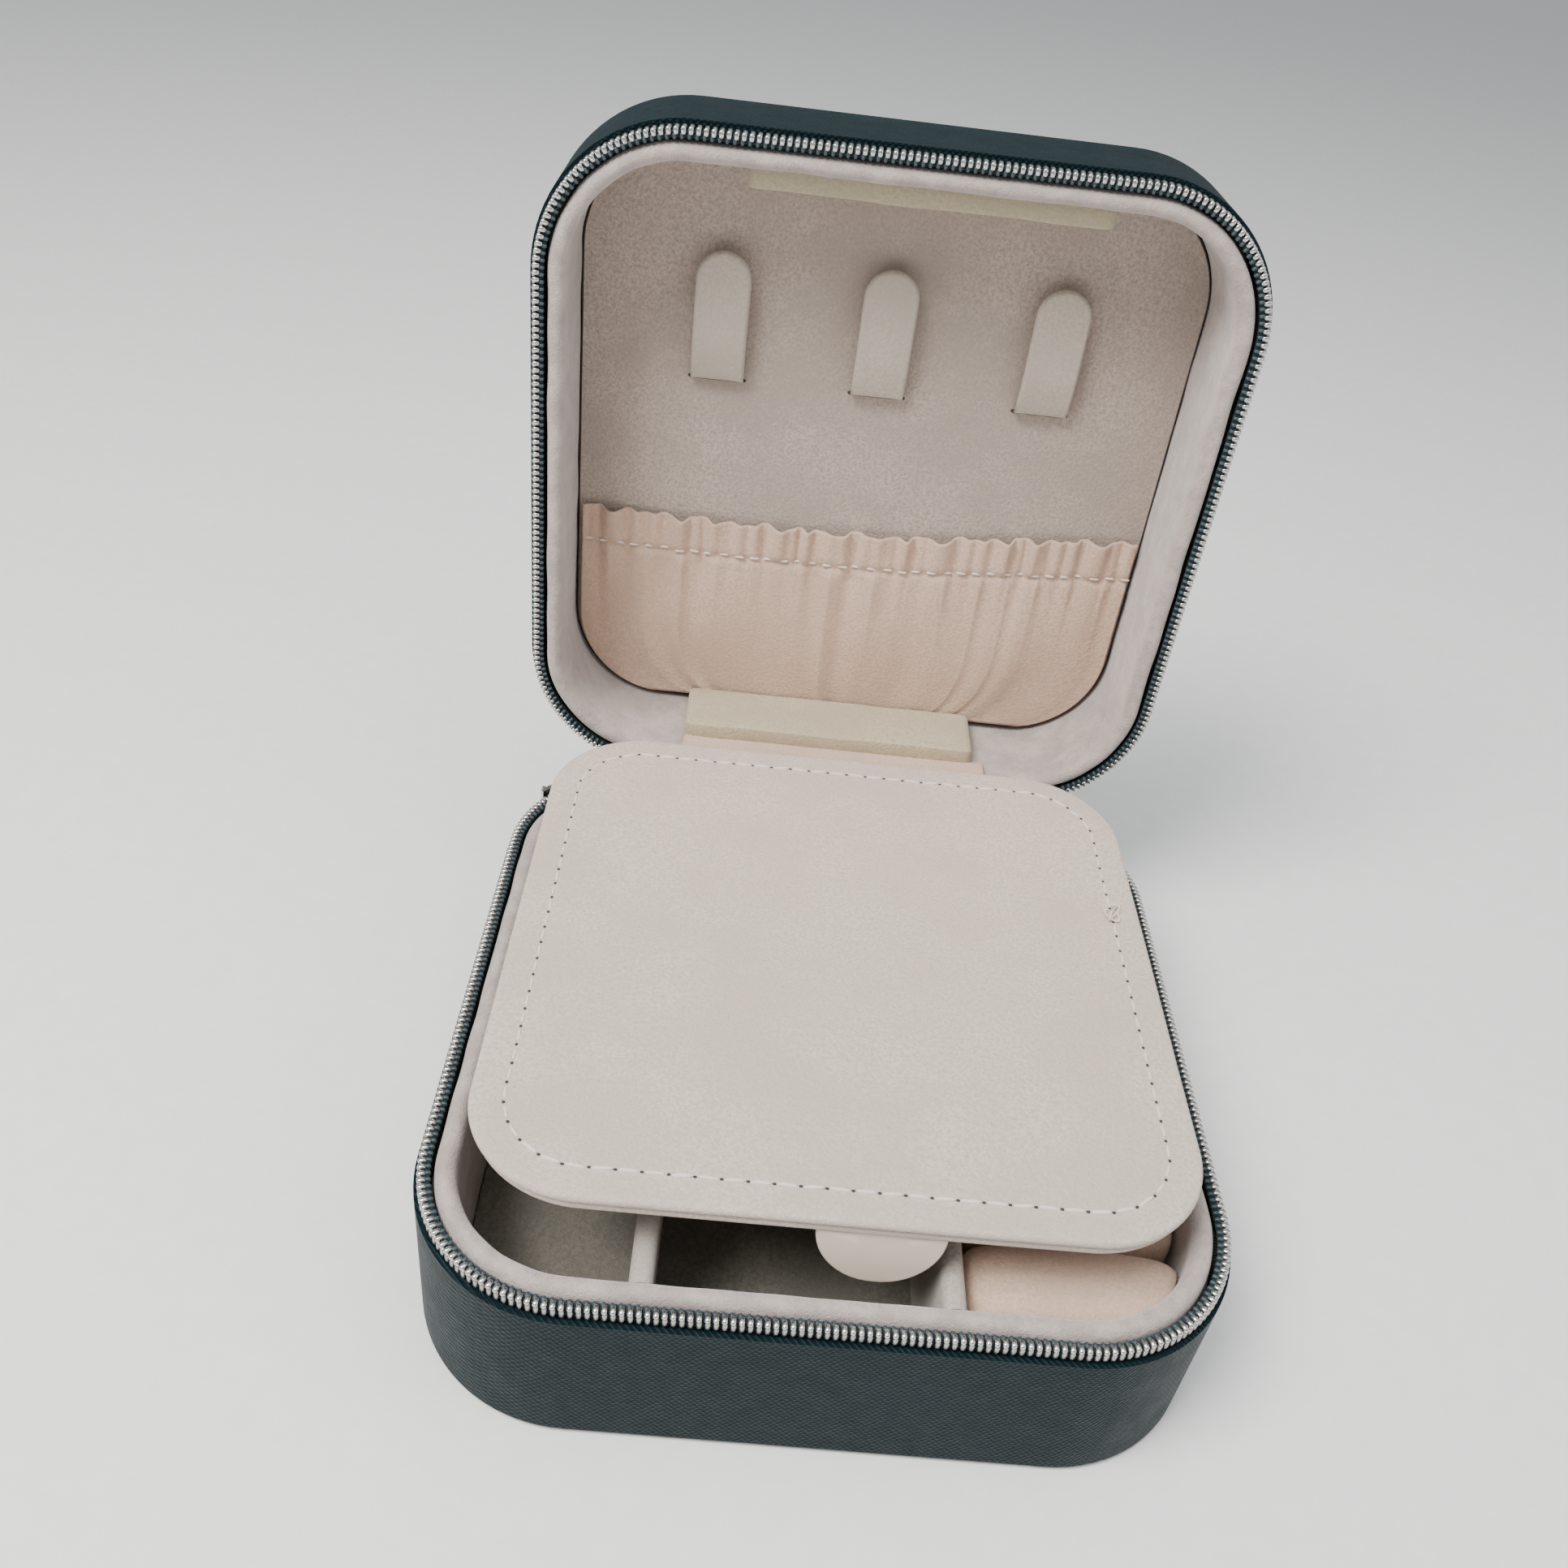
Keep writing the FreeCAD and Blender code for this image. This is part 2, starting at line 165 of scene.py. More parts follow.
def beads(centres, tangents, normals, ups, half, power=0.6, nu=8, nv=6):
    """The same small rounded block at every place, turned to its tangent, normal and up."""
    t = superblock((0, 0, 0), half, power, nu, nv).reshape(-1, 3)
    p = centres[:, None] + t[None, :, 0:1] * tangents[:, None] + t[None, :, 1:2] * normals[:, None]
    p = p + t[None, :, 2:3] * ups[:, None]
    return p.reshape(len(centres), nu, nv, 3)


def lid_rest(p):
    """Turn lid points from shut to open, a quarter turn about the hinge line."""
    return np.stack([p[..., 0], HINGE_Y + p[..., 2] - HINGE_Z, HINGE_Z + HINGE_Y - p[..., 1]], -1)


def build(name, grids, material, wrap=(True, False), smooth=True, fix=True):
    """One mesh from point grids of any count; wrap closes a grid along its first or second way."""
    verts, faces, start = [], [], 0
    for g in grids:
        nu, nv = g.shape[:2]
        i = np.arange(nu if wrap[0] else nu - 1)[:, None]
        j = np.arange(nv if wrap[1] else nv - 1)[None, :]
        i1, j1 = (i + 1) % nu, (j + 1) % nv
        quad = np.stack([i * nv + j, i1 * nv + j, i1 * nv + j1, i * nv + j1], -1).reshape(-1, 4)
        verts.append(g.reshape(-1, 3))
        faces.append(quad + start)
        start += nu * nv
    mesh = bpy.data.meshes.new(name)
    mesh.from_pydata(np.vstack(verts).tolist(), [], np.vstack(faces).tolist())
    work = bmesh.new()
    work.from_mesh(mesh)
    bmesh.ops.remove_doubles(work, verts=work.verts, dist=1e-7)
    if fix:
        bmesh.ops.recalc_face_normals(work, faces=work.faces)
    work.to_mesh(mesh)
    work.free()
    mesh.polygons.foreach_set("use_smooth", [smooth] * len(mesh.polygons))
    mesh.materials.append(material)
    obj = bpy.data.objects.new(name, mesh)
    bpy.context.scene.collection.objects.link(obj)
    return obj


def wobble(p, size, amount, seed=0.0):
    """Slow sums of sines along all three axes, for the small unevenness of padded cloth."""
    x, y, z = [p[..., k] / size for k in range(3)]
    w = np.sin(x * 2.1 + seed) * np.cos(y * 1.7 - seed) + np.sin(y * 3.3 + z * 2.2 + 2 * seed) * 0.6
    w = w + np.sin(x * 5.1 - y * 4.3 + z * 3.7 + 3 * seed) * 0.35
    return w * amount


# ------------------------------------------------------------------ shader maths
class Sock:
    """A shader value; sums, differences and products of it add the node that works them out."""

    def __init__(self, tree, socket):
        self.tree, self.socket = tree, socket

    def _maths(self, kind, other=None, third=None):
        node = self.tree.nodes.new("ShaderNodeMath")
        node.operation = kind
        for slot_no, value in enumerate((self, other, third)):
            if isinstance(value, Sock):
                self.tree.links.new(value.socket, node.inputs[slot_no])
            elif value is not None:
                node.inputs[slot_no].default_value = value
        return Sock(self.tree, node.outputs[0])

    def __add__(self, other):
        return self._maths("ADD", other)

    def __sub__(self, other):
        return self._maths("SUBTRACT", other)

    def __mul__(self, other):
        return self._maths("MULTIPLY", other)

    def sine(self):
        return self._maths("SINE")

    def step(self, low, high):
        node = self.tree.nodes.new("ShaderNodeMapRange")
        node.interpolation_type = "SMOOTHSTEP"
        node.inputs["From Min"].default_value = low
        node.inputs["From Max"].default_value = high
        self.tree.links.new(self.socket, node.inputs["Value"])
        return Sock(self.tree, node.outputs["Result"])


class Paint:
    """A material under construction: one Principled shader and the values that feed it."""

    def __init__(self, name, colour, roughness, sheen=0.0, metallic=0.0, coat=0.0, gloss=0.5):
        self.material = bpy.data.materials.new(name)
        self.material.use_nodes = True
        self.tree = self.material.node_tree
        self.shader = self.tree.nodes["Principled BSDF"]
        self.shader.inputs["Base Color"].default_value = (*colour, 1)
        self.shader.inputs["Roughness"].default_value = roughness
        self.shader.inputs["Sheen Weight"].default_value = sheen
        self.shader.inputs["Sheen Roughness"].default_value = 0.4
        self.shader.inputs["Metallic"].default_value = metallic
        self.shader.inputs["Coat Weight"].default_value = coat
        self.shader.inputs["Specular IOR Level"].default_value = gloss
        self.colour = colour
        coords = self.tree.nodes.new("ShaderNodeTexCoord")
        self.place = coords.outputs["Object"]
        split = self.tree.nodes.new("ShaderNodeSeparateXYZ")
        self.tree.links.new(self.place, split.inputs[0])
        self.x, self.y, self.z = [Sock(self.tree, s) for s in split.outputs]

    def texture(self, kind, scale, **inputs):
        node = self.tree.nodes.new(kind)
        self.tree.links.new(self.place, node.inputs["Vector"])
        node.inputs["Scale"].default_value = scale
        for name, value in inputs.items():
            node.inputs[name].default_value = value
        return Sock(self.tree, node.outputs["Fac"] if "Fac" in node.outputs else node.outputs["Distance"])

    def noise(self, scale, detail=4.0, roughness=0.6):
        return self.texture("ShaderNodeTexNoise", scale, Detail=detail, Roughness=roughness)

    def cells(self, scale):
        return self.texture("ShaderNodeTexVoronoi", scale)

    def mix(self, factor, first, second):
        node = self.tree.nodes.new("ShaderNodeMix")
        node.data_type = "RGBA"
        self.tree.links.new(factor.socket, node.inputs[0])
        for socket, value in ((node.inputs[6], first), (node.inputs[7], second)):
            if isinstance(value, Sock):
                self.tree.links.new(value.socket, socket)
            else:
                socket.default_value = (*value, 1)
        return Sock(self.tree, node.outputs[2])

    def base(self, colour):
        self.tree.links.new(colour.socket, self.shader.inputs["Base Color"])

    def rough(self, value):
        self.tree.links.new(value.socket, self.shader.inputs["Roughness"])

    def bump(self, height, distance, strength=1.0):
        node = self.tree.nodes.new("ShaderNodeBump")
        node.inputs["Strength"].default_value = strength
        node.inputs["Distance"].default_value = distance
        self.tree.links.new(height.socket, node.inputs["Height"])
        self.tree.links.new(node.outputs[0], self.shader.inputs["Normal"])


def shade(colour, factor):
    """The same hue, darker or lighter: each channel times the factor, held at 1."""
    return tuple(min(1.0, c * factor) for c in colour)


def leather(name, colour):
    """Cross-hatched grain: two crossing sine ribs, broken up by cells, with pale rubbed patches."""
    p = Paint(name, colour, 0.5, gloss=0.12)
    warp = p.noise(900, 2.0) * 2.2
    k = TAU / 0.00085
    rib_a = (((p.x + p.y + p.z * 0.96) * k) + warp).sine()
    rib_b = (((p.x + p.y * 0.9 - p.z) * k) + warp).sine()
    hatch = (rib_a * 0.5 + 0.5) * (rib_b * 0.5 + 0.5)
    pits = p.cells(1500)
    height = hatch * 0.7 + pits * 0.5
    worn = p.noise(55, 6.0, 0.7).step(0.58, 0.80)
    tone = p.mix(hatch.step(0.05, 0.8), shade(colour, 0.72), shade(colour, 1.3))
    p.base(p.mix(worn * 0.25, tone, shade(colour, 2.2)))
    p.rough(p.noise(300, 3.0) * 0.22 + 0.40)
    p.bump(height, 0.00016, 0.75)
    return p.material


def suede(name, colour, mottle=0.12, sheen=0.25):
    """Short nap: fine and coarse noise in the height, slow mottling in the colour."""
    p = Paint(name, colour, 0.95, sheen=sheen, gloss=0.2)
    nap = p.noise(5200, 3.0, 0.75)
    clumps = p.noise(1900, 3.0, 0.7)
    brushed = p.noise(55, 6.0, 0.65).step(0.38, 0.62)
    tone = p.mix(clumps.step(0.32, 0.68), shade(colour, 1 - 2 * mottle), shade(colour, 1 + mottle))
    p.base(p.mix(brushed * 0.75, tone, shade(colour, 1 - mottle * 1.6)))
    p.rough(clumps * 0.15 + 0.82)
    p.bump(nap * 0.5 + clumps * 0.9, 0.00030, 0.85)
    return p.material


def velvet(name, colour):
    """Pile that leans this way and that: streaky slow noise shifts the tone, dense fine noise is the pile."""
    p = Paint(name, colour, 0.9, sheen=0.6, gloss=0.2)
    lay = p.noise(240, 6.0, 0.75).step(0.35, 0.65)
    pile = p.noise(3400, 2.0, 0.8)
    p.base(p.mix(lay * 0.5 + pile * 0.4, shade(colour, 0.66), shade(colour, 1.15)))
    p.rough(lay * 0.1 + 0.85)
    p.bump(pile * 0.8 + lay * 0.5, 0.00030, 0.8)
    return p.material


def woven(name, colour, pitch=0.0005):
    """Plain weave: crossed sines, so threads pass over and under."""
    p = Paint(name, colour, 0.8, sheen=0.1, gloss=0.2)
    k = TAU / pitch
    cross = ((p.x + p.y) * k).sine() * (p.z * k).sine()
    p.base(p.mix(cross.step(-0.6, 0.6), shade(colour, 0.6), shade(colour, 1.4)))
    p.bump(cross, 0.0001, 0.7)
    return p.material


def metal(name, colour, rough=0.20):
    """Plated metal with faint wear in its gloss."""
    p = Paint(name, colour, rough, metallic=1.0)
    wear = p.noise(1400, 4.0, 0.7)
    p.rough(wear * 0.25 + (rough - 0.08))
    p.base(p.mix(wear.step(0.5, 0.75), colour, shade(colour, 0.7)))
    p.bump(wear, 0.00003, 0.3)
    return p.material


def thread(name, colour):
    """Twisted thread: a tight slanted sine over a soft fibre noise."""
    p = Paint(name, colour, 0.7, sheen=0.3)
    twist = ((p.x + p.y * 0.7 + p.z) * (TAU / 0.0003)).sine()
    p.base(p.mix(twist.step(-0.8, 0.5), shade(colour, 0.75), colour))
    p.bump(twist, 0.00005, 0.5)
    return p.material


def plain(name, colour, rough=0.8):
    """A quiet surface: one slow noise shifts the tone a little and feeds a faint bump."""
    p = Paint(name, colour, rough)
    grain = p.noise(260, 6.0, 0.6)
    p.base(p.mix(grain, shade(colour, 0.93), shade(colour, 1.05)))
    p.bump(grain, 0.0001, 0.2)
    return p.material


# ------------------------------------------------------------------ settings
def colour_prop(label, text, value):
    return bpy.props.FloatVectorProperty(
        name=label, description=text, subtype="COLOR", size=3, min=0, max=1, default=value
    )


def length_prop(label, text, value, low, high, digits=4):
    return bpy.props.FloatProperty(
        name=label, description=text, unit="LENGTH", default=value, min=low, max=high, precision=digits
    )


class JB_Colours(bpy.types.PropertyGroup):
    """Colours that a user would change."""

    leather: colour_prop("Leather", "Outer leather", (0.0032, 0.0135, 0.0170))
    flap: colour_prop("Flap suede", "Flap boards", (0.665, 0.560, 0.485))
    panel: colour_prop("Panel suede", "Lid panel", (0.515, 0.425, 0.365))
    hook: colour_prop("Hook suede", "Necklace hooks", (0.545, 0.475, 0.395))
    velvet: colour_prop("Velvet", "Linings of the tray and lid", (0.50, 0.425, 0.395))
    olive: colour_prop("Olive suede", "Bars on the lid's walls", (0.55, 0.475, 0.33))
    # Tray floor: its own olive suede, darkened to paint the shade that falls under the flap.
    tray: colour_prop("Tray suede", "Tray floor", (0.26, 0.245, 0.205))
    divider: colour_prop("Divider suede", "Dividers", (0.50, 0.44, 0.39))
    peach: colour_prop("Peach cloth", "Pocket, ring rolls and cloth hinge", (0.69, 0.495, 0.375))
    tab: colour_prop("Tab leather", "Pull tab of the flap", (0.70, 0.60, 0.485))
    metal: colour_prop("Zip metal", "Teeth, slider and pull", (0.62, 0.61, 0.59))
    tape: colour_prop("Zip tape", "Tape behind the teeth", (0.008, 0.020, 0.024))
    floor: colour_prop("Floor", "Floor under the box", (0.88, 0.88, 0.87))


class JB_Sizes(bpy.types.PropertyGroup):
    """Sizes that a user would change."""

    tooth_pitch: length_prop("Tooth pitch", "Tooth to tooth", 0.00095, 0.0006, 0.004, 5)
    stitch_pitch: length_prop("Stitch pitch", "Stitch to stitch", 0.0030, 0.001, 0.01)
    stitch_inset: length_prop("Stitch inset", "Flap edge to its stitching", 0.0042, 0.001, 0.02)
    gathers: bpy.props.IntProperty(
        name="Gathers", description="Folds across the pocket", default=17, min=4, max=40
    )
    gather_depth: length_prop("Gather depth", "Depth of the pocket's folds", 0.0014, 0.0, 0.003, 5)


def sizes():
    return bpy.context.scene.jb_sizes


def make_materials():
    c = bpy.context.scene.jb_colours
    return {
        "leather": leather("teal_leather", tuple(c.leather)),
        "flap": suede("flap_suede", tuple(c.flap), 0.09, 0.1),
        "panel": suede("panel_suede", tuple(c.panel), 0.13),
        "velvet": velvet("velvet", tuple(c.velvet)),
        "olive": suede("olive_suede", tuple(c.olive), 0.10),
        "hook": suede("hook_suede", tuple(c.hook), 0.08),
        # Tray floor suede: the olive suede's colour darkened by painted shade from the flap.
        "tray": suede("tray_suede_painted_shade", tuple(c.tray), 0.12),
        "divider": suede("divider_suede", tuple(c.divider), 0.08),
        "peach": suede("peach_cloth", tuple(c.peach), 0.08, 0.3),
        "tab": plain("tab_leather", tuple(c.tab), 0.6),
        "metal": metal("zip_metal", tuple(c.metal)),
        "coil": metal("zip_coil", shade(tuple(c.metal), 0.72), 0.34),
        "tip": plain("zip_tip", (0.035, 0.060, 0.070), 0.5),
        "tape": woven("zip_tape", tuple(c.tape)),
        "thread": thread("stitch_thread", (0.88, 0.79, 0.75)),
        # Painted shade: a near-black colour laid in seams, gaps, slits and needle holes where shade falls.
        "dark": plain("seam_shadow", (0.05, 0.042, 0.038), 0.95),
        "board": plain("grey_board", (0.30, 0.26, 0.21), 0.9),
        "floor": plain("floor_surface", tuple(c.floor), 0.55),
    }


PAINTS = {}


def paint(name):
    if not PAINTS:
        PAINTS.update(make_materials())
    return PAINTS[name]


def finish_piece(obj, body, slot_name, *nodes):
    if body:
        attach(obj, body)
    if nodes:
        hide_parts(*nodes)
    return obj


# ------------------------------------------------------------------ operators
class JB_OT_firm_parts(bpy.types.Operator):
    """Give the leather covers, boards, tape, dividers and zip slider their finishes"""

    bl_idname = "jewelry_box.firm_parts"
    bl_label = "Firm parts"

    def execute(self, context):
        looks = {
            "leather": (
                "base_wall_cover", "base_bottom_cover", "base_spine",
                "lid_wall_cover", "lid_top_cover", "lid_spine",
            ),
            "board": (
                "base_wall_board", "base_bottom_board", "lid_wall_board", "lid_top_board", "ring_bed",
            ),
            "tape": ("base_zip_tape", "lid_zip_tape"),
            # The tray floor takes the tray suede, whose colour holds painted shade.
            "tray": ("tray_floor",),
            "divider": ("divider_left", "divider_right"),
            "panel": ("lid_panel",),
            "metal": ("zip_slider", "zip_pull"),
        }
        for look, nodes in looks.items():
            for node in nodes:
                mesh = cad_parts[node].data
                mesh.materials.clear()
                mesh.materials.append(paint(look))
        return {"FINISHED"}


def zip_half(name, body, node, lid):
    """Three rows of small blocks in even steps along the shell's outline: bright heads at the mid-plane,
    grey shanks down the outside and dark tips inside. A dark four-sided bead is swept behind them."""
    pitch = sizes().tooth_pitch
    sign = 1 if lid else -1
    for label, inset, height, half, look, shift in (
        ("heads", 1.02, 0.52, (0.00035, 0.00056, 0.00040), "metal", 0.0),
        ("shanks", 0.74, 1.22, (0.00032, 0.00030, 0.00068), "coil", 0.0),
        ("tips", 1.72, 0.72, (0.00026, 0.00042, 0.00034), "tip", 0.5),
    ):
        p, n = zip_path(inset * MM, pitch)
        if shift:
            p = (p[:-1] + p[1:]) / 2
            n = n[:-1]
        t = np.stack([n[:, 1], -n[:, 0], 0 * n[:, 0]], 1)
        n3 = np.stack([n[:, 0], n[:, 1], 0 * n[:, 0]], 1)
        up = np.tile([0.0, 0.0, 1.0], (len(n), 1))
        c = np.column_stack([p, np.full(len(p), HINGE_Z + sign * height * MM)])
        g = beads(c, t, n3, up, half)
        grids = [lid_rest(one) for one in g] if lid else list(g)
        obj = build(name + "_" + label, grids, paint(look))
        finish_piece(obj, body, "zip_metal", node)
    p, n = zip_path(1.5 * MM, 0.002)
    core = np.array([(0.0005, 0.55), (0.0005, 1.95), (-0.0004, 1.95), (-0.0004, 0.55)])
    core[:, 1] = HINGE_Z + sign * core[:, 1] * MM
    g = capped(sweep(p, n, core))
    bead = build(name + "_bead", [lid_rest(g) if lid else g], paint("tape"), wrap=(False, True))
    finish_piece(bead, body, "zip_tape")


class JB_OT_zip(bpy.types.Operator):
    """Build both halves of the zip, tooth by tooth"""

    bl_idname = "jewelry_box.zip"
    bl_label = "Zip teeth"

    def execute(self, context):
        zip_half("base_teeth", "base", "base_zip_teeth", False)
        zip_half("lid_teeth", "lid", "lid_zip_teeth", True)
        return {"FINISHED"}


def lining(name, body, node, inset0, inset1, z_rim, z_root, lid):
    """A padded velvet wall: a closed loop with a full round rim, swept round the shell's outline."""
    p, n = shell_path(inset0 * MM, 36, 24)
    t = (inset1 - inset0) * MM
    sign = 1 if z_root > z_rim else -1
    a = np.linspace(0, np.pi, 15)
    r = t / 2
    rim_h = 0.62 * r * 2
    loop = [(-r + r * math.cos(b), z_rim * MM + sign * (rim_h - rim_h * math.sin(b))) for b in a]
    depth = np.linspace(z_rim * MM + sign * rim_h, z_root * MM, 14)[1:]
    inner = [(-2 * r, d) for d in depth]
    outer = [(0.0, d) for d in depth[::-1]]
    g = sweep(p, n, np.array(loop + inner + outer))
    soft = wobble(g, 0.006, 0.00007, 0.4 if lid else 1.1)
    g[..., 0] += soft
    g[..., 1] += np.roll(soft, 5, 0)
    g = lid_rest(g) if lid else g
    obj = build(name, [g], paint("velvet"), wrap=(True, True))
    return finish_piece(obj, body, "velvet", node)


class JB_OT_linings(bpy.types.Operator):
    """Build the velvet linings of the tray and the lid"""

    bl_idname = "jewelry_box.linings"
    bl_label = "Velvet linings"

    def execute(self, context):
        lining("base_lining", "base", "base_collar", 2.45, 5.15, 25.0, 2.65, False)
        lining("lid_lining", "lid", "lid_collar", 2.45, 4.88, 25.3, 42.7, True)
        return {"FINISHED"}


class JB_OT_ring_rolls(bpy.types.Operator):
    """Build the padded ring rolls, one over each plain roll"""

    bl_idname = "jewelry_box.ring_rolls"
    bl_label = "Ring rolls"

    def execute(self, context):
        # A rounded block, narrowed towards its crest by a cube law and dented by slow sines; points past
        # the tray's corner centres are drawn in until they lie on its corner arc.
        for k in range(1, 8):
            node = "ring_roll_" + str(k)
            low, high = [np.array(c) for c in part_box(node)]
            mid, half = (low + high) / 2, (high - low) / 2
            g = superblock(mid, half, 0.42, 48, 28)
            up = np.clip((g[..., 2] - mid[2]) / half[2], 0, 1)
            g[..., 1] = mid[1] + (g[..., 1] - mid[1]) * (1 - 0.22 * up**3)
            g[..., 2] += wobble(g, 0.005, 0.00012, float(k)) * (1 - up * 0.4)
            corner = np.hypot(np.maximum(g[..., 0] - 0.0292, 0), np.maximum(np.abs(g[..., 1]) - 0.0292, 0))
            squeeze = np.minimum(1.0, 0.0153 / np.maximum(corner, 1e-9))
            g[..., 0] = np.where(g[..., 0] > 0.0292, 0.0292 + (g[..., 0] - 0.0292) * squeeze, g[..., 0])
            obj = build("roll_" + str(k), [g], paint("peach"))
            finish_piece(obj, "base", "suede_peach", node)
        return {"FINISHED"}


def stitches(name, body, p, n, z, half, slot_name, look="thread", lid=False, keep=None):
    """Short rounded stitches lying along a path, each tipped a little from its neighbours."""
    n3 = np.column_stack([n, np.zeros(len(n))])
    t = np.column_stack([n[:, 1], -n[:, 0], 0.10 * np.sin(np.arange(len(n)) * 2.4)])
    up = np.tile([0.0, 0.0, 1.0], (len(n), 1))
    c = np.column_stack([p, z])
    if keep is not None:
        c, t, n3, up = c[keep], t[keep], n3[keep], up[keep]
    g = beads(c, t, n3, up, half, 0.75, 8, 7)
    return finish_piece(build(name, [lid_rest(a) if lid else a for a in g], paint(look)), body, slot_name)


def even_path(half_w, half_d, r, step):
    """A rounded rectangle in even steps: its points and normals read off at equal arc lengths."""
    p, n = outline(half_w, half_d, r, 60, 40)
    q = np.vstack([p, p[:1]])
    m = np.vstack([n, n[:1]])
    s = np.concatenate([[0], np.cumsum(np.linalg.norm(np.diff(q, axis=0), axis=1))])
    at = np.linspace(0, s[-1], int(s[-1] / step), endpoint=False)
    p = np.stack([np.interp(at, s, q[:, k]) for k in (0, 1)], 1)
    n = np.stack([np.interp(at, s, m[:, k]) for k in (0, 1)], 1)
    return p, n / np.linalg.norm(n, axis=1, keepdims=True)


class JB_OT_flap(bpy.types.Operator):
    """Build the two suede boards of the flap, their stitching and the pull tab"""

    bl_idname = "jewelry_box.flap"
    bl_label = "Flap"

    def execute(self, context):
        # Boards: flat slabs lifted by slow sines, with a thin dark slab between them as painted shade in the
        # seam.
        # Stitches and needle holes: rounded blocks in even steps round the boards' outline, drawn inwards;
        # the needle holes are dark blocks of painted shade. Loose thread end: a tube along a sum of sines.
        # Tab: a slab whose outline is a half circle under a straight top, slanted towards its tip.
        low, high = [np.array(c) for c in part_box("flap_bottom_board")]
        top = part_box("flap_top_board")[1][2]
        mid, half = (low + high) / 2, (high - low) / 2
        shift = np.array([mid[0], mid[1]])
        seam = high[2]

        def sag(q):
            return wobble(q, 0.03, 0.00010, 0.7)

        for name, node, z0, z1, shrink in (
            ("flap_lower", "flap_bottom_board", low[2], seam - 0.00006, 0.00035),
            ("flap_upper", "flap_top_board", seam + 0.00006, top, 0.0),
        ):
            p, n = outline(half[0] - shrink, half[1] - shrink, 0.0145, 30, 24)
            g = slab(p + shift, n, z0, z1, 0.00055, 14)
            flat = g.copy()
            flat[..., 2] = 0
            g[..., 2] += sag(flat)
            finish_piece(build(name, [g], paint("flap")), "flap", "suede_beige", node)
        # A thin dark slab between the two boards: painted shade in the seam.
        p, n = outline(half[0] - 0.0006, half[1] - 0.0006, 0.0139, 30, 24)
        g = slab(p + shift, n, seam - 0.0002, seam + 0.0002, 0.00018, 3)
        finish_piece(build("flap_seam_shade", [g], paint("dark")), "flap", "suede_beige")
        inset = sizes().stitch_inset
        p, n = even_path(half[0] - inset, half[1] - inset, 0.0145 - inset, sizes().stitch_pitch)
        p = p + shift
        q = np.column_stack([p, np.zeros(len(p))])
        z = top + sag(q)
        side = np.abs(n[:, 0]) > 0.8
        length = sizes().stitch_pitch * 0.42
        long_half, short_half = (length * 1.05, 0.00026, 0.00026), (length * 0.8, 0.00018, 0.00014)
        stitches("flap_stitches", "flap", p, n, z, long_half, "suede_beige", keep=~side)
        stitches("flap_side_stitches", "flap", p, n, z, short_half, "suede_beige", keep=side)
        # Needle holes: dark blocks of painted shade, half a stitch step along from each stitch.
        hole = p + np.stack([n[:, 1], -n[:, 0]], 1) * sizes().stitch_pitch * 0.5
        hole_half = (0.00026, 0.00022, 0.00010)
        stitches("flap_needle_hole_shade", "flap", hole, n, z - 0.00003, hole_half, "suede_beige", "dark")
        turns = np.linspace(0, 1, 160)
        end = np.array([mid[0] + half[0] - inset, mid[1] + 0.012, top + 0.0003])
        knot_x = 0.0009 * np.sin(TAU * 2.3 * turns) + 0.0003 * np.sin(23 * turns)
        knot_y = 0.0016 * np.cos(TAU * 1.7 * turns)
        knot_z = 0.0003 + 0.0003 * np.sin(TAU * 3.1 * turns)
        knot = np.stack([knot_x, knot_y, knot_z], 1) + end
        along = np.gradient(knot, axis=0)
        along /= np.linalg.norm(along, axis=1, keepdims=True)
        across = np.cross(along, [0, 0, 1.0])
        across /= np.linalg.norm(across, axis=1, keepdims=True)
        rise = np.cross(across, along)
        a = np.linspace(0, TAU, 7)[:-1]
        c, s = np.cos(a)[None, :, None], np.sin(a)[None, :, None]
        tube = knot[:, None] + 0.00011 * (c * across[:, None] + s * rise[:, None])
        loose_end = build("flap_thread_end", [capped(tube)], paint("thread"), wrap=(False, True))
        finish_piece(loose_end, "flap", "suede_beige")

        tl, th = [np.array(c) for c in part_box("flap_tab")]
        r = (th[0] - tl[0]) / 2
        a = np.linspace(np.pi, TAU, 25)
        x = np.concatenate([r * np.cos(a), [r, r * 0.5, 0, -r * 0.5, -r]])
        h = np.concatenate([r * np.sin(a), [r - 0.0072 + 0.0064] * 1 + [0.0064 - 0.0072 + r] * 4])
        pts = np.stack([x, h * 1.0], 1)
        nrm = np.gradient(pts, axis=0)
        nrm = np.stack([nrm[:, 1], -nrm[:, 0]], 1)
        nrm /= np.maximum(np.linalg.norm(nrm, axis=1, keepdims=True), 1e-9)
        g = slab(pts, nrm, 0.0, th[1] - tl[1], 0.0003, 6)
        z_mid = tl[2] + r
        up = g[..., 1]
        slant = 0.0010 * np.clip((0.0005 - up) / r, 0, 1)
        g = np.stack([g[..., 0] + (tl[0] + th[0]) / 2, tl[1] + g[..., 2] - slant, z_mid + up], -1)
        g[..., 2] = np.minimum(g[..., 2], th[2])
        finish_piece(build("pull_tab", [g], paint("tab")), "flap", "cream_leather", "flap_tab")
        return {"FINISHED"}


